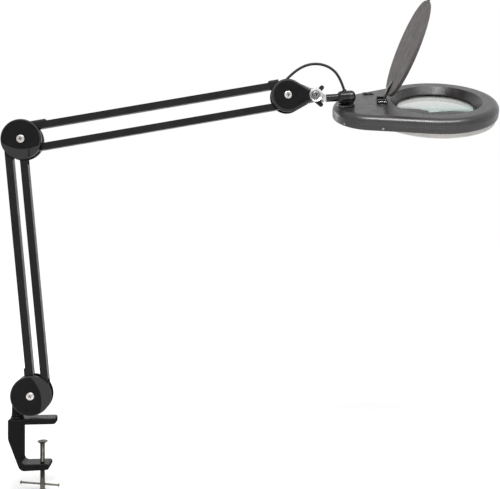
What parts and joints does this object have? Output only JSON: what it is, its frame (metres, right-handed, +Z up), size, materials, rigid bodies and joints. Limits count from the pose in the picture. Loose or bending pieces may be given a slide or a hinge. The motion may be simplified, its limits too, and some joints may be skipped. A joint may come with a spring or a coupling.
{
  "type": "magnifying lamp",
  "caption": "Clamp-on magnifying lamp: double-bar arm with round joints, tilting lens head with a light ring under the lens and a round lid on a hinge.",
  "frame": {"origin": "on the underside of the clamp's top jaw, on the axis of the clamp screw", "axes": "+Z up, +X along the arm towards the head, the arm lies in the plane Y = 0 and the head is rolled towards -Y"},
  "size_m": [0.7845, 0.2054, 0.7597],
  "materials": {
    "clamp_casting": "satin",
    "black_paint": "satin",
    "cover_plastic": "satin",
    "steel": "brushed",
    "bright_chrome": "polished",
    "black_metal": "satin",
    "black_plastic": "matte",
    "head_plastic": "satin",
    "lid_plastic": "satin",
    "dark_steel": "brushed",
    "lens_glass": "polished",
    "diffuser_plastic": "frosted",
    "board": "matte",
    "led_body": "gloss",
    "cable_rubber": "matte",
    "bush_plastic": "matte"
  },
  "bodies": {
    "stand": {"clamp_frame": "clamp_casting", "swivel_bush": "bush_plastic"},
    "clamp_pad": {"clamp_pad": "dark_steel"},
    "clamp_screw": {"clamp_screw": "dark_steel"},
    "tommy_bar": {"tommy_bar": "dark_steel"},
    "shoulder": {"shoulder_bracket": "clamp_casting", "shoulder_cover_front": "cover_plastic", "shoulder_cover_back": "cover_plastic", "shoulder_screw": "steel", "shoulder_nut": "steel", "lower_pivot_pin": "steel"},
    "lower_back": {"lower_back_bar": "black_paint", "lower_back_spring": "steel", "lower_back_strap": "black_metal"},
    "lower_front": {"lower_front_bar": "black_paint", "lower_front_spring": "steel"},
    "elbow": {"elbow_plates": "steel", "elbow_pivot_pins": "steel", "elbow_cover_front": "cover_plastic", "elbow_cover_back": "cover_plastic", "elbow_screw": "steel", "elbow_nut": "steel"},
    "upper_top": {"upper_top_bar": "black_paint", "upper_top_spring": "steel", "upper_elbow_strap": "black_metal", "upper_head_strap": "black_metal"},
    "upper_bottom": {"upper_bottom_bar": "black_paint", "upper_bottom_spring": "steel"},
    "head_joint": {"head_joint_plates": "steel", "head_joint_pins": "steel", "head_joint_cover_front": "cover_plastic", "head_joint_cover_back": "cover_plastic", "head_joint_screw": "steel", "head_joint_nut": "steel", "cable_grommet": "cable_rubber", "head_cable": "cable_rubber", "tilt_screw": "bright_chrome", "tilt_washer": "bright_chrome", "tilt_nut": "steel"},
    "neck": {"knuckle_bracket": "bright_chrome", "neck_tube": "black_metal", "neck_barrel": "black_metal", "roll_axle": "steel"},
    "wing_screw": {"wing_screw": "black_plastic"},
    "saddle": {"saddle": "black_metal", "turn_clip": "steel"},
    "head": {"head_upper_shell": "head_plastic", "head_lower_shell": "head_plastic", "case_screws": "steel", "lens": "lens_glass", "lens_ring": "diffuser_plastic", "led_board": "board", "leds": "led_body", "diffuser_ring": "diffuser_plastic", "switch_bezel": "black_plastic", "lid_hinge_bracket": "black_plastic", "lid_hinge_pin": "steel"},
    "lid": {"lid_arm": "black_plastic", "lid_disc": "lid_plastic"},
    "switch_rocker": {"switch_rocker": "black_plastic"}
  },
  "joints": [
    {"name": "clamp_travel", "type": "slide", "parent": "stand", "child": "clamp_pad", "axis": [0, 0, 1], "range_m": [-0.015, 0.0165]},
    {"name": "clamp_turn", "type": "hinge", "parent": "clamp_pad", "child": "clamp_screw", "pos_m": [0, 0, -0.07], "axis": [0, 0, 1], "range_deg": [-3605, 3965]},
    {"name": "tommy_slide", "type": "slide", "parent": "clamp_screw", "child": "tommy_bar", "axis": [0.9945, 0, -0.1045], "range_m": [-0.019, 0.027]},
    {"name": "shoulder_swivel", "type": "hinge", "parent": "stand", "child": "shoulder", "pos_m": [-0.038, 0, 0], "axis": [0, 0, 1], "continuous": true},
    {"name": "lower_fold", "type": "hinge", "parent": "shoulder", "child": "lower_back", "pos_m": [-0.0155, 0, 0.043], "axis": [0, 1, 0], "range_deg": [-10, 50]},
    {"name": "lower_front_pivot", "type": "hinge", "parent": "shoulder", "child": "lower_front", "pos_m": [0.0063, 0, 0.043], "axis": [0, 1, 0], "range_deg": [-11, 51]},
    {"name": "elbow_pivot", "type": "hinge", "parent": "lower_back", "child": "elbow", "pos_m": [-0.05168, 0, 0.43302], "axis": [0, 1, 0], "range_deg": [-51, 11]},
    {"name": "upper_fold", "type": "hinge", "parent": "elbow", "child": "upper_top", "pos_m": [-0.02988, 0, 0.45093], "axis": [0, -1, 0], "range_deg": [-45, 38]},
    {"name": "upper_bottom_pivot", "type": "hinge", "parent": "elbow", "child": "upper_bottom", "pos_m": [-0.02988, 0, 0.41742], "axis": [0, -1, 0], "range_deg": [-46, 39]},
    {"name": "head_joint_pivot", "type": "hinge", "parent": "upper_top", "child": "head_joint", "pos_m": [0.37902, 0, 0.52745], "axis": [0, -1, 0], "range_deg": [-39, 46]},
    {"name": "head_tilt", "type": "hinge", "parent": "head_joint", "child": "neck", "pos_m": [0.42382, 0, 0.50905], "axis": [0, 1, 0], "range_deg": [-50, 50], "deforming": ["head_cable"]},
    {"name": "wing_turn", "type": "hinge", "parent": "head_joint", "child": "wing_screw", "pos_m": [0.42382, 0, 0.50905], "axis": [0, 1, 0], "range_deg": [-90, 360]},
    {"name": "head_roll", "type": "hinge", "parent": "neck", "child": "saddle", "pos_m": [0.47402, 0, 0.50805], "axis": [0.9969, 0, 0.0785], "range_deg": [-58.5, 31.5]},
    {"name": "head_turn", "type": "hinge", "parent": "saddle", "child": "head", "pos_m": [0.47402, 0, 0.50805], "axis": [-0.069, -0.4772, 0.8761], "range_deg": [-55, 55]},
    {"name": "lid_hinge", "type": "hinge", "parent": "head", "child": "lid", "pos_m": [0.54201, 0.0188, 0.51451], "axis": [0.1707, 0.8596, 0.4816], "range_deg": [-40, 69.5]},
    {"name": "switch_rock", "type": "hinge", "parent": "head", "child": "switch_rocker", "pos_m": [0.52239, 0.05207, 0.52435], "axis": [-0.0374, 0.8788, 0.4757], "range_deg": [0, 8]}
  ],
  "couplings": [
    {"joint": "clamp_turn", "follows": "clamp_travel", "rad_per_m": 4188.8},
    {"joint": "lower_front_pivot", "follows": "lower_fold", "ratio": 1},
    {"joint": "elbow_pivot", "follows": "lower_fold", "ratio": -1},
    {"joint": "upper_bottom_pivot", "follows": "upper_fold", "ratio": 1},
    {"joint": "head_joint_pivot", "follows": "upper_fold", "ratio": -1}
  ]
}
